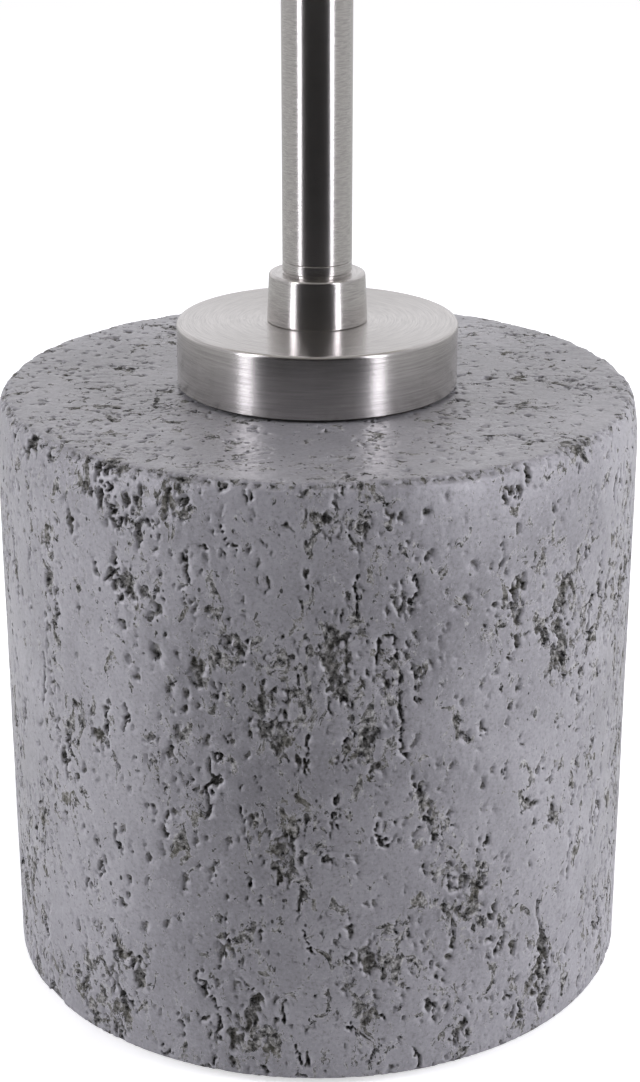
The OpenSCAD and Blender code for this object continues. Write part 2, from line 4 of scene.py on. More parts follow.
import bmesh
import bpy
import numpy as np
from bpy.props import FloatProperty, IntProperty, PointerProperty, StringProperty
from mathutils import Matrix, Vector


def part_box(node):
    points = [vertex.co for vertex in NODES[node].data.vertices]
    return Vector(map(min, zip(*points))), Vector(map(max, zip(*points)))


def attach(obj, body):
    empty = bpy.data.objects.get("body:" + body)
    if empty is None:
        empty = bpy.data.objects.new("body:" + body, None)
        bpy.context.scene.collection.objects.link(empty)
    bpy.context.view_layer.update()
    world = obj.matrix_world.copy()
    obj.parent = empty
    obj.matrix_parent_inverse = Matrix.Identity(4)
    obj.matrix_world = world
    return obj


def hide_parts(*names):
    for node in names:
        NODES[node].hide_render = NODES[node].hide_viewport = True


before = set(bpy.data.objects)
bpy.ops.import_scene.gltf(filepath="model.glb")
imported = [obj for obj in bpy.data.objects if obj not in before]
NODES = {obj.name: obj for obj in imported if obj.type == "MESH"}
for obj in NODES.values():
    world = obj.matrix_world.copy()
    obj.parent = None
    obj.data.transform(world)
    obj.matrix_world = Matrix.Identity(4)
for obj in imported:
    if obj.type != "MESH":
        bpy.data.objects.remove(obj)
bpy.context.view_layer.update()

bl_info = {
    "name": "Table Lamp",
    "version": (1, 0, 0),
    "blender": (4, 5, 0),
    "location": "3D View > Sidebar > Lamp",
    "description": "Builds a table lamp with a cast concrete drum, nickel fittings and a linen shade",
    "category": "Add Mesh",
}

MM = 0.001
SEED = 7
COLOURS = {"data_type": "RGBA"}


# ---------------------------------------------------------------- sizes

def span(node, axis):
    """Lowest and highest place of a CAD node along one axis, in metres."""
    low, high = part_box(node)
    return low[axis], high[axis]


DRUM_LOW, DRUM_HIGH = span("concrete_body", 2)
DRUM_RADIUS = span("concrete_body", 0)[1]
SHADE_LOW, SHADE_HIGH = span("shade_fabric", 2)
SHADE_TAPER = 0.013
SHADE_THICKNESS = 0.0008

# inside of the drum, in millimetres
LEDGE_Z = span("clamp_plate", 2)[1] / MM
PIPE_HOLE = 5.4
HIDDEN_RADIUS = 36.0
RECESS_RADIUS = 76.0
CAVITY_RADIUS = 70.0
CEILING = 20.0

# the cord inlet at the back, in millimetres
INLET_Z = sum(span("inlet_bush", 2)) / 2 / MM
BUSH_SEAT_Y = 87.6
BUSH_FLANGE = 9.6
BUSH_SHANK = 6.1
BUSH_WELL_Y = 71.0


# ---------------------------------------------------------------- colours and shader nodes

def linear(hex_colour):
    """Linear RGBA for an sRGB hex colour such as #8A8B90."""
    digits = hex_colour.lstrip("#")
    parts = [int(digits[i:i + 2], 16) / 255 for i in (0, 2, 4)]
    curve = [c / 12.92 if c <= 0.04045 else ((c + 0.055) / 1.055) ** 2.4 for c in parts]
    return (*curve, 1.0)


def grain(size_mm):
    """Texture scale for a pattern whose features are this many millimetres apart, in object coordinates."""
    return 1000.0 / size_mm


def set_stops(points, stops):
    """Places the (position, colour) stops of a colour ramp."""
    points[0].position, points[0].color = stops[0]
    points[1].position, points[1].color = stops[-1]
    for position, colour in stops[1:-1]:
        point = points.new(position)
        point.color = colour


def add(tree, kind, output=0, settings=None, inputs=None):
    """Adds a shader node, sets its own settings, and sets or links its inputs by name or number.

    Returns the named or numbered output, or all of them where output is None.
    """
    new = tree.nodes.new("ShaderNode" + kind)
    for name, value in (settings or {}).items():
        if name == "stops":
            set_stops(new.color_ramp.elements, value)
        else:
            setattr(new, name, value)
    for name, value in (inputs or {}).items():
        if isinstance(value, bpy.types.NodeSocket):
            tree.links.new(value, new.inputs[name])
        elif value is not None:
            new.inputs[name].default_value = value
    return new.outputs if output is None else new.outputs[output]


def new_tree(block):
    """Turns a material or world to nodes and clears them. Returns its node tree."""
    block.use_nodes = True
    block.node_tree.nodes.clear()
    return block.node_tree


def new_material(name, fill):
    """A material whose principled shader has the inputs that fill gives for its node tree."""
    made = bpy.data.materials.new(name)
    tree = new_tree(made)
    shader = add(tree, "BsdfPrincipled", "BSDF", inputs=fill(tree))
    add(tree, "OutputMaterial", None, inputs={"Surface": shader})
    return made


def overlaid(tree, under, tint, mask, low, high, share):
    """Lays a tint over a colour: none of it where the mask is at low, and a share of it from high on."""
    amount = add(
        tree, "MapRange",
        inputs={"Value": mask, "From Min": low, "From Max": high, "To Max": share},
    )
    return add(tree, "Mix", 2, COLOURS, {0: amount, 6: under, 7: linear(tint)})


def stacked_relief(tree, *layers, under=None):
    """Relief in layers laid one over another, each a height, its depth in millimetres and its strength."""
    for height, depth_mm, strength in layers:
        under = add(
            tree, "Bump",
            inputs={"Height": height, "Distance": depth_mm * MM, "Strength": strength, "Normal": under},
        )
    return under


def turned_place(tree, round_share):
    """Coordinates that run round the Z axis: angle times a share, distance from the axis, height."""
    axes = add(tree, "SeparateXYZ", None, inputs={0: add(tree, "TexCoord", "Object")})
    angle = add(tree, "Math", 0, {"operation": "ARCTAN2"}, {0: axes["Y"], 1: axes["X"]})
    flat = add(tree, "CombineXYZ", inputs={"X": axes["X"], "Y": axes["Y"]})
    far = add(tree, "VectorMath", "Value", {"operation": "LENGTH"}, {0: flat})
    short = add(tree, "Math", 0, {"operation": "MULTIPLY"}, {0: angle, 1: round_share})
    return add(tree, "CombineXYZ", inputs={"X": short, "Y": far, "Z": axes["Z"]})


# ---------------------------------------------------------------- materials

def sealed_cast_concrete(settings):
    """Cast concrete under a thin satin sealer: cool grey flats with a soft sheen, dull crumbly pits."""
    def fill(tree):
        place = add(tree, "TexCoord", "Object")
        tall = add(tree, "Mapping", inputs={"Vector": place, "Scale": (1.0, 1.0, 0.65)})
        pits, painted_rim_highlights, crowd = (
            add(tree, "Attribute", "Fac", {"attribute_name": name}) for name in ("pit", "lip", "crowd")
        )
        # where each layer lies, the spacing of its features in millimetres, its detail and its roughness
        cloud, blotch, speck, crumbs, stain, gloss, fine, swell = (
            add(
                tree, "TexNoise",
                inputs={"Vector": where, "Scale": grain(size_mm), "Detail": detail, "Roughness": tooth},
            )
            for where, size_mm, detail, tooth in (
                (place, 38, 4, 0.55), (tall, 9, 4, 0.6), (place, 0.9, 3, 0.6), (place, 1.7, 5, 0.70),
                (place, 7, 3, 0.5), (place, 5, 3, 0.5), (place, 0.8, 3, 0.6), (tall, 3.4, 5, 0.64),
            )
        )
        flats = add(
            tree, "ValToRGB", "Color",
            {"stops": [(0.32, linear(settings.dark_colour)), (0.68, linear(settings.light_colour))]},
            {"Fac": cloud},
        )
        flats = overlaid(tree, flats, "#A3A2A6", blotch, 0.48, 0.75, 0.35)
        flats = overlaid(tree, flats, "#4E4D49", speck, 0.54, 0.68, 0.38)
        flats = overlaid(tree, flats, "#B0AFB3", speck, 0.46, 0.34, 0.22)
        torn, lip = torn_patches(tree, tall, pits, painted_rim_highlights, crowd)
        hole = pinholes(tree, tall)
        # crumbs about a millimetre wide stand in the torn ground, with near-black gaps, which are painted
        # shade between the crumbs, and pale tops
        ground = add(
            tree, "ValToRGB", "Color",
            {"stops": [
                (0.400, linear("#1B1A19")), (0.450, linear("#565552")),
                (0.520, linear("#7A7976")), (0.620, linear("#B2B1AF")),
            ]},
            {"Fac": crumbs},
        )
        ground = overlaid(tree, ground, "#5F5C4E", stain, 0.50, 0.66, 0.42)
        # a pale tint on the rims of the pits and torn patches: a painted highlight
        colour = add(tree, "Mix", 2, COLOURS, {0: lip, 6: flats, 7: linear("#BDBCC0")})
        colour = add(tree, "Mix", 2, COLOURS, {0: torn, 6: colour, 7: ground})
        # each pinhole is painted near-black: painted shade inside the hole
        colour = overlaid(tree, colour, "#24231F", hole, 0, 1, 0.85)
        spoilt = add(tree, "Math", 0, {"operation": "MAXIMUM"}, {0: torn, 1: hole})
        satin = add(
            tree, "MapRange",
            inputs={"Value": gloss, "From Min": 0.3, "From Max": 0.7, "To Min": 0.38, "To Max": 0.52},
        )
        chalky = add(tree, "MapRange", inputs={"Value": spoilt, "To Max": 0.42})
        rough = add(tree, "Math", 0, {"operation": "ADD", "use_clamp": True}, {0: satin, 1: chalky})
        sealer = add(
            tree, "MapRange",
            inputs={"Value": spoilt, "From Max": 0.6, "To Min": settings.sealer, "To Max": 0},
        )
        sunk = add(tree, "MapRange", inputs={"Value": spoilt, "To Max": -1})
        standing = add(tree, "Math", 0, {"operation": "MULTIPLY"}, {0: crumbs, 1: torn})
        relief = stacked_relief(tree, (sunk, 0.55, 1.0), (standing, 1.5, 0.9), (fine, 0.05, 0.6))
        return {
            "Base Color": colour,
            "Roughness": rough,
            "IOR": 1.5,
            "Coat Weight": sealer,
            "Coat Roughness": 0.30,
            "Normal": stacked_relief(tree, (swell, 0.30, 0.7), under=relief),
            "Coat Normal": relief,
        }

    return new_material("sealed_cast_concrete", fill)


def torn_patches(tree, tall, pits, painted_rim_highlights, crowd):
    """Ragged patches of torn ground, closer together where the pits crowd, and a painted highlight round
    their rims.
    """
    torn = add(tree, "MapRange", inputs={"Value": pits, "From Min": 0.10, "From Max": 0.45})
    lip = add(tree, "MapRange", inputs={"Value": painted_rim_highlights, "From Min": 0.2, "To Max": 0.40})
    for size_mm, sparse, dense in ((5.6, 0.600, 0.538), (2.4, 0.622, 0.566)):
        shape = add(
            tree, "TexNoise",
            inputs={
                "Vector": tall, "Scale": grain(size_mm), "Detail": 7, "Roughness": 0.72, "Distortion": 0.6,
            },
        )
        limit = add(tree, "MapRange", inputs={"Value": crowd, "To Min": sparse, "To Max": dense})
        over = add(tree, "Math", 0, {"operation": "SUBTRACT"}, {0: shape, 1: limit})
        # a band just outside each patch takes the painted rim highlight
        cut = add(tree, "MapRange", inputs={"Value": over, "From Max": 0.014})
        edge = add(
            tree, "MapRange",
            inputs={"Value": over, "From Min": -0.018, "From Max": -0.003, "To Max": 0.50},
        )
        torn = add(tree, "Math", 0, {"operation": "MAXIMUM"}, {0: torn, 1: cut})
        lip = add(tree, "Math", 0, {"operation": "MAXIMUM"}, {0: lip, 1: edge})
    return torn, lip


def pinholes(tree, tall):
    """Air holes about half a millimetre across, some 3 mm apart."""
    cells = add(
        tree, "TexVoronoi", None, {"feature": "F1"},
        {"Vector": tall, "Scale": grain(2.9), "Randomness": 1.0},
    )
    chosen = add(tree, "SeparateColor", inputs={0: cells["Color"]})
    reach = add(
        tree, "MapRange",
        inputs={"Value": chosen, "From Min": 0.55, "To Max": 0.17},
    )
    inside = add(tree, "Math", 0, {"operation": "SUBTRACT"}, {0: reach, 1: cells["Distance"]})
    return add(tree, "MapRange", inputs={"Value": inside, "From Max": 0.04})


def brushed_metal(name, hex_colour, roughness):
    """Nickel or brass brushed round its axis: highlights drawn out across fine lines round the part."""
    def fill(tree):
        # real lines are about 0.05 mm apart, and are drawn coarser here so that they show
        lines = add(
            tree, "TexNoise",
            inputs={
                "Vector": turned_place(tree, 0.0012), "Scale": grain(0.35), "Detail": 4, "Roughness": 0.65,
            },
        )
        bands = add(
            tree, "TexNoise",
            inputs={"Vector": turned_place(tree, 0.004), "Scale": grain(2.2), "Detail": 3},
        )
        full = linear(hex_colour)
        dim = (*(0.74 * c for c in full[:3]), 1.0)
        return {
            "Base Color": add(
                tree, "ValToRGB", "Color", {"stops": [(0.32, dim), (0.60, full)]}, {"Fac": lines},
            ),
            "Metallic": 1.0,
            "Roughness": add(
                tree, "MapRange",
                inputs={
                    "Value": bands, "From Min": 0.3, "From Max": 0.7,
                    "To Min": roughness - 0.008, "To Max": roughness + 0.012,
                },
            ),
            "Anisotropic": 0.82,
            "Anisotropic Rotation": 0.25,
            "Tangent": add(tree, "Tangent", 0, {"direction_type": "RADIAL", "axis": "Z"}),
            "Normal": stacked_relief(tree, (lines, 0.002, 0.15)),
        }

    return new_material(name, fill)


def plain_metal(name, dark, light, roughness):
    """A drawn or plated metal with faint handling marks: even colour, soft cloudy gloss."""
    def fill(tree):
        place = add(tree, "TexCoord", "Object")
        cloud = add(
            tree, "TexNoise",
            inputs={"Vector": place, "Scale": grain(3), "Detail": 4, "Roughness": 0.6},
        )
        marks = add(tree, "TexNoise", inputs={"Vector": place, "Scale": grain(0.5), "Detail": 2})
        return {
            "Base Color": add(
                tree, "ValToRGB", "Color",
                {"stops": [(0.35, linear(dark)), (0.65, linear(light))]}, {"Fac": cloud},
            ),
            "Metallic": 1.0,
            "Roughness": add(
                tree, "MapRange",
                inputs={
                    "Value": cloud, "From Min": 0.3, "From Max": 0.7,
                    "To Min": roughness - 0.06, "To Max": roughness + 0.08,
                },
            ),
            "Normal": stacked_relief(tree, (marks, 0.01, 0.3)),
        }

    return new_material(name, fill)


def moulded(name, dark, light, roughness, grain_mm, depth_mm):
    """Moulded or pressed dull stuff, such as nylon, rubber or fibre: fine tooth, slightly cloudy colour."""
    def fill(tree):
        place = add(tree, "TexCoord", "Object")
        cloud, tooth = (
            add(
                tree, "TexNoise",
                inputs={"Vector": place, "Scale": grain(size_mm), "Detail": 3, "Roughness": 0.6},
            )
            for size_mm in (6, grain_mm)
        )
        return {
            "Base Color": add(
                tree, "ValToRGB", "Color",
                {"stops": [(0.35, linear(dark)), (0.65, linear(light))]}, {"Fac": cloud},
            ),
            "Roughness": add(
                tree, "MapRange",
                inputs={
                    "Value": tooth, "From Min": 0.3, "From Max": 0.7,
                    "To Min": roughness - 0.06, "To Max": roughness + 0.06,
                },
            ),
            "IOR": 1.5,
            "Normal": stacked_relief(tree, (tooth, depth_mm, 0.7)),
        }

    return new_material(name, fill)


def frosted_bulb_glass(tree):
    """Bulb glass coated white inside: milky, with a soft gloss outside."""
    place = add(tree, "TexCoord", "Object")
    cloud = add(tree, "TexNoise", inputs={"Vector": place, "Scale": grain(24), "Detail": 3})
    fine = add(tree, "TexNoise", inputs={"Vector": place, "Scale": grain(1.2), "Detail": 2})
    return {
        "Base Color": add(
            tree, "ValToRGB", "Color",
            {"stops": [(0.3, linear("#E6E3DA")), (0.7, linear("#F3F1EA"))]}, {"Fac": cloud},
        ),
        "Roughness": add(
            tree, "MapRange",
            inputs={"Value": fine, "From Min": 0.3, "From Max": 0.7, "To Min": 0.16, "To Max": 0.24},
        ),
        "IOR": 1.5,
        "Coat Weight": 0.6,
        "Coat Roughness": 0.08,
        "Subsurface Weight": 0.15,
        "Subsurface Scale": 0.004,
    }


def thread_wave(tree, way, wobble, thread_mm):
    """Ups and downs along one thread direction, two threads to a wave, shifted where the thread wobbles."""
    turn = math.pi / (thread_mm * MM)
    scaled = add(tree, "Math", 0, {"operation": "MULTIPLY"}, {0: way, 1: turn})
    shift = add(tree, "Math", 0, {"operation": "MULTIPLY"}, {0: wobble, 1: 2.2})
    both = add(tree, "Math", 0, {"operation": "ADD"}, {0: scaled, 1: shift})
    return add(tree, "Math", 0, {"operation": "SINE"}, {0: both})


def woven_linen(name, warp, weft, thread_mm):
    """Plain woven linen: over-and-under threads of uneven thickness, matt with a faint sheen at the edge."""
    def fill(tree):
        # the real threads are about 0.5 mm apart, and are drawn coarser here so that they show
        lay = add(tree, "TexCoord", "UV")
        slub_weft, slub_warp = (
            add(
                tree, "TexNoise",
                inputs={
                    "Vector": add(tree, "Mapping", inputs={"Vector": lay, "Scale": stretch}),
                    "Scale": grain(thread_mm * 1.4),
                },
            )
            for stretch in ((0.05, 1.0, 1.0), (1.0, 0.05, 1.0))
        )
        axes = add(tree, "SeparateXYZ", None, inputs={0: lay})
        over = add(
            tree, "Math", 0, {"operation": "MULTIPLY"},
            {
                0: thread_wave(tree, axes["X"], slub_warp, thread_mm),
                1: thread_wave(tree, axes["Y"], slub_weft, thread_mm),
            },
        )
        ridge = add(tree, "MapRange", inputs={"Value": over, "From Min": -0.8, "From Max": 0.8})
        colour = add(tree, "Mix", 2, COLOURS, {0: ridge, 6: linear(weft), 7: linear(warp)})
        colour = overlaid(tree, colour, "#E0D8C6", slub_weft, 0.52, 0.74, 0.45)
        colour = overlaid(tree, colour, "#A89D86", slub_warp, 0.55, 0.76, 0.35)
        return {
            "Base Color": colour,
            "Roughness": 0.85,
            "Sheen Weight": 0.25,
            "Sheen Roughness": 0.5,
            "Normal": stacked_relief(tree, (ridge, 0.18, 0.8), (slub_weft, 0.25, 0.5)),
        }

    return new_material(name, fill)


def pale_studio_floor(tree):
    """A seamless pale sheet with its own faint glow, so that only a soft shadow shows under the lamp."""
    place = add(tree, "TexCoord", "Object")
    tone = add(tree, "TexNoise", inputs={"Vector": place, "Scale": 0.8})
    seen = add(tree, "LightPath", "Is Camera Ray")
    return {
        "Base Color": add(
            tree, "ValToRGB", "Color",
            {"stops": [(0.3, linear("#E9E9EA")), (0.7, linear("#EEEEEF"))]}, {"Fac": tone},
        ),
        "Roughness": 0.9,
        "Emission Color": linear("#FFFFFF"),
        "Emission Strength": add(tree, "MapRange", inputs={"Value": seen, "To Min": 0.03, "To Max": 0.55}),
    }


def glow(name, strength):
    """A card that only gives off grey light, used in reflections."""
    made = bpy.data.materials.new(name)
    tree = new_tree(made)
    light = add(tree, "Emission", inputs={"Color": linear("#FFFFFF"), "Strength": strength})
    add(tree, "OutputMaterial", None, inputs={"Surface": light})
    return made


# ---------------------------------------------------------------- noise for the casting

def smooth_noise(points, seed):
    """Gradient noise, about -0.8 to 0.8, at points measured in units of its grain."""
    rng = np.random.default_rng(seed)
    table = rng.permutation(256)
    slopes = rng.normal(size=(256, 3))
    slopes /= np.linalg.norm(slopes, axis=1)[:, None]
    cell = np.floor(points).astype(np.int64)
    inner = points - cell
    fade = inner ** 3 * (inner * (inner * 6 - 15) + 10)
    total = np.zeros(len(points))
    for dx in (0, 1):
        column = table[(cell[:, 0] + dx) & 255]
        for dy in (0, 1):
            row = table[(column + cell[:, 1] + dy) & 255]
            for dz in (0, 1):
                slope = slopes[table[(row + cell[:, 2] + dz) & 255]]
                reach = ((inner - (dx, dy, dz)) * slope).sum(1)
                weight = np.ones(len(points))
                for axis, near in enumerate((dx, dy, dz)):
                    weight *= fade[:, axis] if near else 1 - fade[:, axis]
                total += weight * reach
    return total * 1.6


def layered_noise(points, seed, layers=3):
    """Several layers of smooth noise, each twice as fine and half as strong."""
    total = sum(smooth_noise(points * 2 ** k, seed + k) * 0.5 ** k for k in range(layers))
    return total / sum(0.5 ** k for k in range(layers))


def scattered(points, seed):
    """Distance to the nearest of the points scattered one to a unit cell, and two random numbers of it."""
    rng = np.random.default_rng(seed)
    table = rng.permutation(256)
    spots = rng.random((256, 3))
    traits = rng.random((256, 2))
    cell = np.floor(points).astype(np.int64)
    nearest = np.full(len(points), 9.0)
    found = np.zeros(len(points), np.int64)
    for dx in (-1, 0, 1):
        column = table[(cell[:, 0] + dx) & 255]
        for dy in (-1, 0, 1):
            row = table[(column + cell[:, 1] + dy) & 255]
            for dz in (-1, 0, 1):
                key = table[(row + cell[:, 2] + dz) & 255]
                away = cell + (dx, dy, dz) + spots[key] - points
                far = np.sqrt((away ** 2).sum(1))
                closer = far < nearest
                nearest[closer] = far[closer]
                found[closer] = key[closer]
    return nearest, traits[found, 0], traits[found, 1]


def step_up(low, high, value):
    """A smooth rise from 0 at low to 1 at high."""
    share = np.clip((value - low) / (high - low), 0, 1)
    return share * share * (3 - 2 * share)


def pit_depth(points, top):
    """Depth of the pits in millimetres, and how crowded they are. On the upper face top is 1, else 0."""
    wall = 1 - top
    tall = points * (1.0, 1.0, 0.60)
    torn = np.stack([layered_noise(tall / 2.4, SEED + k, 3) for k in (11, 15, 19)], axis=1)
    crumb = layered_noise(points * (1.0, 1.0, 0.7) / 1.6, SEED + 31, 2)
    crowd = layered_noise(tall / 21, SEED + 25, 3)
    thick = step_up(-0.26, 0.28, crowd) * (1 - 0.35 * top)
    depth = np.zeros(len(points))
    # gouges, chips and nicks: taller than wide, with torn outlines and crumbly floors
    for spacing, least, spread, deepest, share, seed in (
        (6.2, 0.13, 0.18, 1.4, 0.75, 41),
        (3.6, 0.14, 0.19, 1.1, 0.85, 43),
        (2.3, 0.15, 0.19, 0.8, 0.85, 45),
    ):
        far, size, luck = scattered((tall + torn * (0.6 + spacing * 0.45)) / spacing, SEED + seed)
        hollow = step_up(0.0, 0.30, 1 - far / (least + spread * size))
        kept = luck < share * (0.36 + 0.64 * thick) * (1 - 0.35 * top)
        depth = np.maximum(depth, hollow * kept * deepest * (0.55 + 0.45 * size))
    # cavities: broken ground with deep crumbs left standing, in a few clusters
    field = layered_noise((tall + torn * 2.4) / 8.5, SEED + 51, 4) + 0.42 * crowd
    crumbs = step_up(-0.30, 0.12, layered_noise((tall + torn) / 2.4, SEED + 61, 3))
    depth = np.maximum(depth, step_up(0.36, 0.41, field) * (0.30 + 1.2 * crumbs) * wall)
    depth *= 0.80 + 0.75 * crumb
    # crevices: thin winding cuts, mostly upright
    line = np.abs(smooth_noise((points * (1.0, 1.0, 0.28) + torn * 2.4) / 10, SEED + 71))
    line /= 0.5 + 0.9 * crumbs
    open_here = step_up(0.20, 0.32, smooth_noise(tall / 8, SEED + 81) + 0.15 * crowd) * wall
    depth = np.maximum(depth, (1 - step_up(0.010, 0.045, line)) * open_here * 2.1)
    worn = 0.24 * (0.5 + 0.6 * layered_noise(points / 26, SEED + 91, 2))
    chafe = (0.10 + 0.30 * thick) * np.clip(crumb + 0.1, 0, 1)
    return np.clip(depth, 0, None) * (1 - 0.30 * top) + np.clip(worn, 0, 0.5) + chafe, thick


# ---------------------------------------------------------------- meshes

def grid_mesh(name, places, close_rows=False):
    """A mesh of quads over an array of places, rows by columns, whose columns close round."""
    rows, columns = places.shape[:2]
    index = np.arange(rows * columns).reshape(rows, columns)
    upper = np.roll(index, -1, axis=0) if close_rows else index[1:]
    lower = index if close_rows else index[:-1]
    quads = np.stack(
        [lower, np.roll(lower, -1, axis=1), np.roll(upper, -1, axis=1), upper], axis=-1
    ).reshape(-1, 4)
    mesh = bpy.data.meshes.new(name)
    mesh.vertices.add(rows * columns)
    mesh.vertices.foreach_set("co", places.reshape(-1).astype(np.float32))
    mesh.loops.add(quads.size)
    mesh.loops.foreach_set("vertex_index", quads.reshape(-1).astype(np.int32))
    mesh.polygons.add(len(quads))
    mesh.polygons.foreach_set("loop_start", (np.arange(len(quads)) * 4).astype(np.int32))
    mesh.update(calc_edges=True)
    mesh.validate()
    return mesh


def place_object(name, mesh, finish, sharp_angle=None):
    """Puts a mesh in the scene as a smooth-shaded object with one material."""
    mesh.polygons.foreach_set("use_smooth", [True] * len(mesh.polygons))
    if sharp_angle is not None:
        mesh.set_sharp_from_angle(angle=math.radians(sharp_angle))
    mesh.materials.clear()
    mesh.materials.append(finish)
    made = bpy.data.objects.new(name, mesh)
    bpy.context.scene.collection.objects.link(made)
    return made


def baked(obj):
    """Applies an object's modifiers to its mesh."""
    ready = obj.evaluated_get(bpy.context.evaluated_depsgraph_get())
    mesh = bpy.data.meshes.new_from_object(ready)
    obj.modifiers.clear()
    old = obj.data
    obj.data = mesh
    bpy.data.meshes.remove(old)
    return obj


def finish_node(node, material):
    """Gives a CAD node its finish."""
    slots = NODES[node].data.materials
    slots.clear()
    slots.append(material)


# ---------------------------------------------------------------- concrete drum

def even_steps(start, end, pitch):
    """Points from start to end, without the end, about a pitch apart."""
    start, end = Vector(start), Vector(end)
    count = max(1, round((end - start).length / pitch))
    return [tuple(start.lerp(end, k / count)) for k in range(count)]


def drum_profile(settings):
    """The drum's closed outline in millimetres as (radius, height, pitted), from the pipe hole and back."""
    radius, low, high = DRUM_RADIUS / MM, DRUM_LOW / MM, DRUM_HIGH / MM
    pitch = settings.pitch
    top_radius = radius - settings.shoulder_in
    shoulder_low = high - settings.shoulder_high
    worn = settings.arris
    outline = [(*p, 0) for p in even_steps((PIPE_HOLE, high), (HIDDEN_RADIUS, high), 8)]
    outline += [(*p, 1) for p in even_steps((HIDDEN_RADIUS, high), (top_radius - worn, high), pitch)]
    for k in range(6):
        turn = math.radians(90 - 90 * k / 6)
        outline.append((top_radius - worn + worn * math.cos(turn), high - worn + worn * math.sin(turn), 1))
    wall_low = low + settings.bottom_round
    for _, z in even_steps((0, high - worn), (0, wall_low), pitch):
        lift = max(0.0, (z - shoulder_low) / settings.shoulder_high)
        outline.append((radius - settings.shoulder_in * lift ** 2, z, 1))
    for k in range(6):
        turn = math.radians(90 * k / 6)
        inset = settings.bottom_round
        outline.append((radius - inset + inset * math.cos(turn), wall_low - inset * math.sin(turn), 1))
    ledge_z, ceiling = LEDGE_Z, high - CEILING
    for start, end, step in (
        ((radius - settings.bottom_round, low), (RECESS_RADIUS, low), 1.5),
        ((RECESS_RADIUS, low), (RECESS_RADIUS, ledge_z), 4),
        ((RECESS_RADIUS, ledge_z), (CAVITY_RADIUS, ledge_z), 3),
        ((CAVITY_RADIUS, ledge_z), (CAVITY_RADIUS, ceiling), 60),
        ((CAVITY_RADIUS, ceiling), (PIPE_HOLE, ceiling), 32),
        ((PIPE_HOLE, ceiling), (PIPE_HOLE, high), 12),
    ):
        outline += [(*p, 0) for p in even_steps(start, end, step)]
    return np.array(outline)


def cast_drum(settings, finish):
    """The hollow concrete drum: a lathed grid pushed in along its own normals by the pits."""
    outline = drum_profile(settings)
    rows, columns = len(outline), settings.columns
    ahead = np.roll(outline[:, :2], -1, axis=0) - np.roll(outline[:, :2], 1, axis=0)
    facing = np.stack([-ahead[:, 1], ahead[:, 0]], axis=1)
    facing /= np.linalg.norm(facing, axis=1)[:, None]
    angle = np.arange(columns) * 2 * math.pi / columns
    around = np.stack([np.cos(angle), np.sin(angle)], axis=1)
    places = np.empty((rows, columns, 3))
    places[..., :2] = outline[:, None, :1] * around[None]
    places[..., 2] = outline[:, None, 1]
    outward = np.empty_like(places)
    outward[..., :2] = facing[:, None, :1] * around[None]
    outward[..., 2] = facing[:, None, 1]
    shown = np.flatnonzero(outline[:, 2] > 0)
    points = places[shown].reshape(-1, 3)
    normals = outward[shown].reshape(-1, 3)
    top = step_up(0.5, 0.95, normals[:, 2])
    depth, thick = pit_depth(points, top)
    # the arris is worn and chipped
    edge = np.hypot(DRUM_RADIUS / MM - settings.shoulder_in - np.hypot(points[:, 0], points[:, 1]),
                    DRUM_HIGH / MM - points[:, 2])
    chips = layered_noise(points / 2.0, SEED + 101, 3)
    bites = layered_noise(points / 9, SEED + 105, 2)
    near = 1 - step_up(0.3, 3.0, edge + 1.6 * chips)
    depth += near * (0.1 + 1.1 * step_up(0.0, 0.35, chips) + 0.9 * np.clip(bites + 0.1, 0, 1))
    thick = np.maximum(thick, 0.9 * near)
    # a plain spot face and a hole for the cord inlet at the back
    moved = points - normals * depth[:, None]
    off_axis = np.hypot(moved[:, 0], moved[:, 2] - INLET_Z)
    behind = moved[:, 1] > 0
    flat = behind & (off_axis < BUSH_FLANGE)
    moved[flat, 1] = BUSH_SEAT_Y
    moved[behind & (off_axis < BUSH_SHANK), 1] = BUSH_WELL_Y
    depth[flat] = 0.0
    places[shown] = moved.reshape(len(shown), columns, 3)
    full = np.zeros((rows, columns))
    full[shown] = depth.reshape(len(shown), columns)
    soft = sum(np.roll(np.roll(full, i, 0), j, 1) for i in (-2, 0, 2) for j in (-2, 0, 2)) / 9
    crowded = np.zeros((rows, columns))
    crowded[shown] = thick.reshape(len(shown), columns)
    mesh = grid_mesh("concrete_drum", places[::-1] * MM, close_rows=True)
    pit = np.clip((full - 0.45) / 1.2, 0, 1)
    # where the neighbours lie deeper, on the pits' rims, goes a painted highlight
    lip = np.clip((soft - full) / 0.5, 0, 1)
    for name, values in (("pit", pit), ("lip", lip), ("crowd", crowded)):
        layer = mesh.attributes.new(name, "FLOAT", "POINT")
        layer.data.foreach_set("value", values[::-1].reshape(-1).astype(np.float32))
    drum = place_object("concrete_drum", mesh, finish)
    if settings.keep_share < 1:
        thin = drum.modifiers.new("thin", "DECIMATE")
        thin.ratio = settings.keep_share
        baked(drum)
    return drum


# ---------------------------------------------------------------- shade

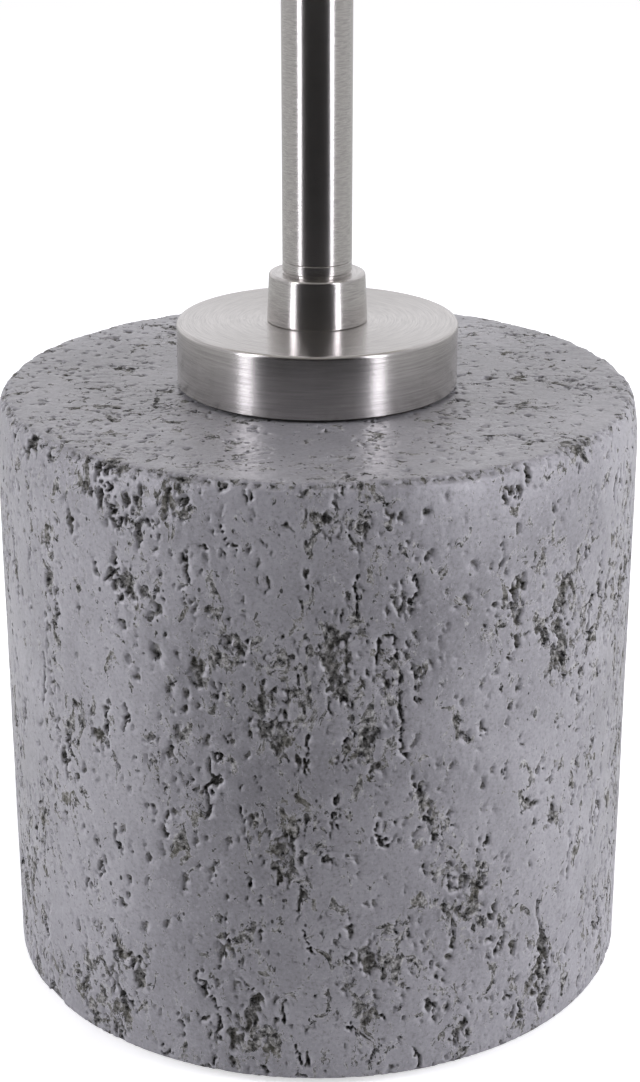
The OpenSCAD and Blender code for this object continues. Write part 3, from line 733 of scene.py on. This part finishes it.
def shade_wall(name, low, high, radii, thickness, finish):
    """A thin cone of cloth between two heights, closed at both edges, with its weave laid out in metres."""
    columns, rows = 240, 24
    low_outer, high_outer = radii
    heights = np.linspace(low, high, rows)
    outer = np.interp(heights, (low, high), (low_outer, high_outer))
    profile = list(zip(outer, heights))
    profile += [(r - thickness, z) for r, z in zip(outer[::-1], heights[::-1])]
    angle = np.arange(columns) * 2 * math.pi / columns + math.pi / 2
    places = np.empty((len(profile), columns, 3))
    for k, (r, z) in enumerate(profile):
        places[k, :, 0] = r * np.cos(angle)
        places[k, :, 1] = r * np.sin(angle)
        places[k, :, 2] = z
    mesh = grid_mesh(name, places, close_rows=True)
    layer = mesh.uv_layers.new(name="weave")
    mean = (low_outer + high_outer) / 2
    corners = np.zeros(len(mesh.loops), np.int32)
    mesh.loops.foreach_get("vertex_index", corners)
    column = corners % columns
    face_start = np.repeat(column[::4], 4)
    column = np.where((face_start == columns - 1) & (column == 0), columns, column)
    height = np.array([z for _, z in profile])[corners // columns]
    lay = np.stack([column * 2 * math.pi / columns * mean, height], axis=1)
    layer.data.foreach_set("uv", lay.reshape(-1).astype(np.float32))
    return place_object(name, mesh, finish, 40)


# ---------------------------------------------------------------- settings shown in the sidebar

class LampConcrete(bpy.types.PropertyGroup):
    """Sizes and colours of the cast drum."""
    light_colour: StringProperty(
        name="Light grey", description="Lighter colour of the flats", default="#949397",
    )
    dark_colour: StringProperty(
        name="Dark grey", description="Darker colour of the flats", default="#7D7C80",
    )
    sealer: FloatProperty(
        name="Sealer", description="How much satin sealer lies on the flats",
        default=0.6, min=0, max=1, subtype="FACTOR",
    )
    shoulder_in: FloatProperty(
        name="Shoulder inset", description="How far the top edge stands in, mm", default=2.0,
    )
    shoulder_high: FloatProperty(
        name="Shoulder height", description="Height of the drawn-in part, mm", default=15.0,
    )
    bottom_round: FloatProperty(
        name="Bottom rounding", description="Rounding at the foot of the wall, mm", default=1.5,
    )
    arris: FloatProperty(
        name="Arris", description="Rounding of the worn top edge, mm", default=1.7,
    )
    pitch: FloatProperty(
        name="Pitch", description="Spacing of the mesh on the wall, mm", default=0.5, min=0.2,
    )
    columns: IntProperty(
        name="Columns", description="Number of mesh columns round the drum", default=1110, min=64,
    )
    keep_share: FloatProperty(
        name="Kept share", description="Share of the faces kept after thinning",
        default=0.34, min=0.05, max=1, subtype="FACTOR",
    )


class LampNickel(bpy.types.PropertyGroup):
    """Finish of the nickel parts."""
    colour: StringProperty(
        name="Nickel", description="Colour of the brushed nickel", default="#C8C5C2",
    )
    roughness: FloatProperty(
        name="Roughness", description="Roughness of the brushed faces",
        default=0.25, min=0.05, max=1, subtype="FACTOR",
    )


class LampShade(bpy.types.PropertyGroup):
    """Weave of the shade."""
    warp_colour: StringProperty(
        name="Warp", description="Colour of the upright threads", default="#D3CAB6",
    )
    weft_colour: StringProperty(
        name="Weft", description="Colour of the level threads", default="#B8AD97",
    )
    thread: FloatProperty(
        name="Thread spacing", description="Spacing of the drawn threads, mm", default=1.1,
    )


class LampStage(bpy.types.PropertyGroup):
    """Camera."""
    distance: FloatProperty(
        name="Distance", description="From the lamp's axis to the camera", default=0.5849, unit="LENGTH",
    )
    height: FloatProperty(
        name="Height", description="Camera above the floor", default=0.3426, unit="LENGTH",
    )
    tilt: FloatProperty(
        name="Tilt", description="Downward tilt of the camera",
        default=math.radians(20.66), subtype="ANGLE",
    )
    turn: FloatProperty(
        name="Turn", description="Turn of the camera to the right",
        default=math.radians(0.075), subtype="ANGLE",
    )
    lens: FloatProperty(
        name="Lens", description="Focal length for a 36 mm long side", default=72.85, unit="CAMERA",
    )


# ---------------------------------------------------------------- operators

def in_front(azimuth, distance, height):
    """A place round the lamp: azimuth 0 is in front (-Y) and positive to the right (+X), in degrees."""
    turn = math.radians(azimuth)
    return Vector((distance * math.sin(turn), -distance * math.cos(turn), height))


def soft_light(name, place, target, size, radiance, colour):
    """A rectangular soft light of a given brightness, aimed at a point and not seen by the camera."""
    lamp = bpy.data.lights.new(name, "AREA")
    lamp.shape = "RECTANGLE"
    lamp.size, lamp.size_y = size
    lamp.energy = radiance * math.pi * size[0] * size[1]
    lamp.color = linear(colour)[:3]
    made = bpy.data.objects.new(name, lamp)
    made.location = place
    made.rotation_euler = (Vector(target) - Vector(place)).to_track_quat("-Z", "Y").to_euler()
    made.visible_camera = False
    bpy.context.scene.collection.objects.link(made)
    return made


class LAMP_OT_stage(bpy.types.Operator):
    """Camera, pale floor and soft studio light"""
    bl_idname = "lamp.stage"
    bl_label = "Stage"

    def execute(self, context):
        stage = context.scene.lamp_stage
        self.camera(context.scene, stage)
        self.floor()
        self.sky(context.scene)
        self.lights()
        context.scene.view_settings.view_transform = "Standard"
        return {"FINISHED"}

    def camera(self, scene, stage):
        """The camera looks down at the drum from in front."""
        data = bpy.data.cameras.new("camera")
        data.sensor_fit = "AUTO"
        data.sensor_width = 36
        data.lens = stage.lens
        data.clip_start = 0.01
        data.clip_end = 60
        camera = bpy.data.objects.new("camera", data)
        camera.location = (0, -stage.distance, stage.height)
        camera.rotation_euler = (math.radians(90) - stage.tilt, 0, -stage.turn)
        scene.collection.objects.link(camera)
        scene.camera = camera

    def floor(self):
        """A wide floor, and a dark and a grey card on it that show only in reflections."""
        bm = bmesh.new()
        bmesh.ops.create_circle(bm, cap_ends=True, segments=96, radius=20)
        mesh = bpy.data.meshes.new("floor")
        bm.to_mesh(mesh)
        bm.free()
        floor = place_object("floor", mesh, new_material("pale_studio_floor", pale_studio_floor))
        for name, start, end, strength in (
            ("front_card", -50, 46, 0.015),
            ("side_card", 46, 310, 0.60),
        ):
            card = self.ring_card(name, start, end, 0.13, 6.0, 0.0004, strength)

    def ring_card(self, name, start, end, near, far, height, strength):
        """A part of a flat ring just above the floor, seen only by glossy rays."""
        steps = 48
        turns = [start + (end - start) * k / steps for k in range(steps + 1)]
        corners = [in_front(t, near, height) for t in turns] + [in_front(t, far, height) for t in turns]
        faces = [(k, k + 1, k + steps + 2, k + steps + 1) for k in range(steps)]
        mesh = bpy.data.meshes.new(name)
        mesh.from_pydata(corners, [], faces)
        card = place_object(name, mesh, glow(name, strength))
        card.visible_camera = False
        card.visible_diffuse = False
        card.visible_transmission = False
        card.visible_shadow = False
        card.visible_volume_scatter = False
        return card

    def sky(self, scene):
        """Bright all round except for a dark sector in front. The camera itself sees plain white."""
        world = bpy.data.worlds.new("studio")
        scene.world = world
        tree = new_tree(world)
        way = add(tree, "TexCoord", "Generated")
        level = add(tree, "VectorMath", 0, {"operation": "MULTIPLY"}, {0: way, 1: (1, 1, 0)})
        level = add(tree, "VectorMath", 0, {"operation": "NORMALIZE"}, {0: level})
        facing = add(
            tree, "VectorMath", "Value", {"operation": "DOT_PRODUCT"}, {0: level, 1: in_front(-1, 1, 0)},
        )
        dark = add(tree, "MapRange", inputs={"Value": facing, "From Min": 0.54, "From Max": 0.70})
        up = add(tree, "SeparateXYZ", "Z", inputs={0: way})
        low = add(
            tree, "MapRange",
            inputs={"Value": up, "From Min": 0.75, "From Max": 0.92, "To Min": 1, "To Max": 0},
        )
        shaded = add(tree, "Math", 0, {"operation": "MULTIPLY"}, {0: dark, 1: low})
        behind = add(tree, "MapRange", inputs={"Value": facing, "From Min": 0.1, "From Max": -0.8})
        side_grey, back_grey = (0.62, 0.61, 0.635, 1), (0.98, 0.97, 1.0, 1)
        front_grey = (0.015, 0.014, 0.014, 1)
        colour = add(tree, "Mix", 2, COLOURS, {0: behind, 6: side_grey, 7: back_grey})
        colour = add(tree, "Mix", 2, COLOURS, {0: shaded, 6: colour, 7: front_grey})
        rays = add(tree, "LightPath", None)
        colour = add(tree, "Mix", 2, COLOURS, {0: rays["Is Camera Ray"], 6: colour, 7: linear("#FFFFFF")})
        dimmed = {"Value": rays["Is Diffuse Ray"], "To Min": 1.0, "To Max": 0.64}
        strength = add(tree, "MapRange", inputs=dimmed)
        back = add(tree, "Background", inputs={"Color": colour, "Strength": strength})
        add(tree, "OutputWorld", None, inputs={"Surface": back})

    def lights(self):
        """Two tall narrow lights for the bright bars on the metal, and two broad ones beside the lamp."""
        aim = (0, 0, 0.22)
        for name, azimuth in (("left_strip", -58), ("right_strip", 49)):
            strip = soft_light(name, in_front(azimuth, 1.1, 0.55), aim, (0.22, 1.3), 6.8, "#F8F6FF")
            strip.visible_diffuse = False
        for name, azimuth, radiance in (("left_broad", -82, 7.6), ("right_broad", 80, 9.4)):
            broad = soft_light(name, in_front(azimuth, 1.7, 0.65), aim, (1.0, 1.2), radiance, "#F9F8FF")
            broad.visible_glossy = False


class LAMP_OT_drum(bpy.types.Operator):
    """Cast concrete drum with its pits, worn edge and cord hole"""
    bl_idname = "lamp.drum"
    bl_label = "Concrete drum"

    def execute(self, context):
        settings = context.scene.lamp_concrete
        drum = cast_drum(settings, sealed_cast_concrete(settings))
        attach(drum, "stand")
        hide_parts("concrete_body")
        return {"FINISHED"}


class LAMP_OT_underside(bpy.types.Operator):
    """Finishes of the feet, clamp plate, nut and cord inlet"""
    bl_idname = "lamp.underside"
    bl_label = "Underside and inlet"

    def execute(self, context):
        steel = plain_metal("zinc_plated_steel", "#8F9094", "#B4B5B8", 0.34)
        nylon = moulded("black_nylon", "#121213", "#1B1B1C", 0.46, 0.7, 0.02)
        finish_node("feet", moulded("moulded_rubber", "#141413", "#1E1E1D", 0.74, 0.5, 0.03))
        finish_node("fibre_washer", moulded("vulcanised_fibre", "#191714", "#2A2621", 0.70, 0.6, 0.03))
        for node in ("clamp_plate", "flat_washer", "lock_washer", "bottom_nut", "centre_pipe"):
            finish_node(node, steel)
        for node in ("inlet_bush", "inlet_nut"):
            finish_node(node, nylon)
        return {"FINISHED"}


class LAMP_OT_stem(bpy.types.Operator):
    """Brushed nickel disc, collar, ring, stem, saddle, harp and finial"""
    bl_idname = "lamp.stem"
    bl_label = "Nickel parts"

    def execute(self, context):
        nickel = context.scene.lamp_nickel
        turned = brushed_metal("brushed_nickel", nickel.colour, nickel.roughness)
        bright = plain_metal("satin_nickel_plate", "#B9B3AC", "#CFC9C2", 0.24)
        for node in ("disc_cap", "collar", "seam_ring", "stem_tube", "stem_cap",
                     "harp_sleeve_left", "harp_sleeve_right", "finial", "spider_hub"):
            finish_node(node, turned)
        for node in ("harp_saddle", "harp", "shade_top_ring", "shade_bottom_ring", "spider_arms"):
            finish_node(node, bright)
        return {"FINISHED"}


class LAMP_OT_socket(bpy.types.Operator):
    """Finishes of the brass socket, its inside and its switch"""
    bl_idname = "lamp.socket"
    bl_label = "Socket and switch"

    def execute(self, context):
        brass = brushed_metal("brushed_brass", "#D9BC7A", 0.27)
        phenolic = moulded("black_phenolic", "#0E0D0D", "#191716", 0.30, 1.2, 0.01)
        for node in ("socket_cap", "socket_shell", "centre_contact", "terminal_screws", "switch_shaft"):
            finish_node(node, brass)
        finish_node("socket_liner", moulded("insulating_board", "#4A3A2C", "#5B4836", 0.8, 0.6, 0.05))
        finish_node("socket_interior", phenolic)
        finish_node("switch_knob", phenolic)
        finish_node("screw_shell", plain_metal("bright_aluminium", "#C9CACB", "#DCDDDE", 0.22))
        return {"FINISHED"}


class LAMP_OT_bulb(bpy.types.Operator):
    """Frosted bulb with an aluminium screw base"""
    bl_idname = "lamp.bulb"
    bl_label = "Bulb"

    def execute(self, context):
        finish_node("bulb_glass", new_material("frosted_bulb_glass", frosted_bulb_glass))
        finish_node("bulb_base", plain_metal("spun_aluminium", "#B9BABB", "#D2D3D4", 0.28))
        finish_node("bulb_tip", plain_metal("solder_tip", "#9C9D9E", "#B5B6B6", 0.38))
        return {"FINISHED"}


class LAMP_OT_shade(bpy.types.Operator):
    """Linen drum shade with its lining and hems"""
    bl_idname = "lamp.shade"
    bl_label = "Shade"

    def execute(self, context):
        shade = context.scene.lamp_shade
        linen = woven_linen("natural_linen", shade.warp_colour, shade.weft_colour, shade.thread)
        hem = woven_linen("linen_hem_tape", "#CCC3AF", "#B3A892", shade.thread * 0.8)
        lining = moulded("white_lining", "#E9E6DD", "#F2F0E8", 0.62, 1.4, 0.02)
        for node in ("shade_top_trim", "shade_bottom_trim"):
            finish_node(node, hem)
        finish_node("shade_lining", lining)
        bottom = span("shade_fabric", 0)[1]
        top = bottom - SHADE_TAPER
        cloth = shade_wall("shade_cloth", SHADE_LOW, SHADE_HIGH, (bottom, top), SHADE_THICKNESS, linen)
        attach(cloth, "shade")
        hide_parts("shade_fabric")
        return {"FINISHED"}


class LAMP_PT_parts(bpy.types.Panel):
    """Lists the lamp's parts"""
    bl_idname = "LAMP_PT_parts"
    bl_label = "Table lamp"
    bl_space_type = "VIEW_3D"
    bl_region_type = "UI"
    bl_category = "Lamp"

    def draw(self, context):
        for operator in OPERATORS:
            self.layout.operator(operator.bl_idname)
        for name in GROUPS:
            group = getattr(context.scene, name)
            box = self.layout.box()
            for key in group.__annotations__:
                box.prop(group, key)


OPERATORS = (
    LAMP_OT_stage, LAMP_OT_drum, LAMP_OT_underside, LAMP_OT_stem,
    LAMP_OT_socket, LAMP_OT_bulb, LAMP_OT_shade,
)
GROUPS = {
    "lamp_concrete": LampConcrete,
    "lamp_nickel": LampNickel,
    "lamp_shade": LampShade,
    "lamp_stage": LampStage,
}


def register():
    """Registers the settings, the operators and the panel."""
    for name, group in GROUPS.items():
        bpy.utils.register_class(group)
        setattr(bpy.types.Scene, name, PointerProperty(type=group))
    for kind in (*OPERATORS, LAMP_PT_parts):
        bpy.utils.register_class(kind)


def unregister():
    """Takes away what register added."""
    for kind in reversed((*OPERATORS, LAMP_PT_parts)):
        bpy.utils.unregister_class(kind)
    for name, group in GROUPS.items():
        delattr(bpy.types.Scene, name)
        bpy.utils.unregister_class(group)


def main():
    """Builds the stage and every part in order."""
    register()
    for operator in OPERATORS:
        group, name = operator.bl_idname.split(".")
        getattr(getattr(bpy.ops, group), name)()


if __name__ == "__main__":
    main()
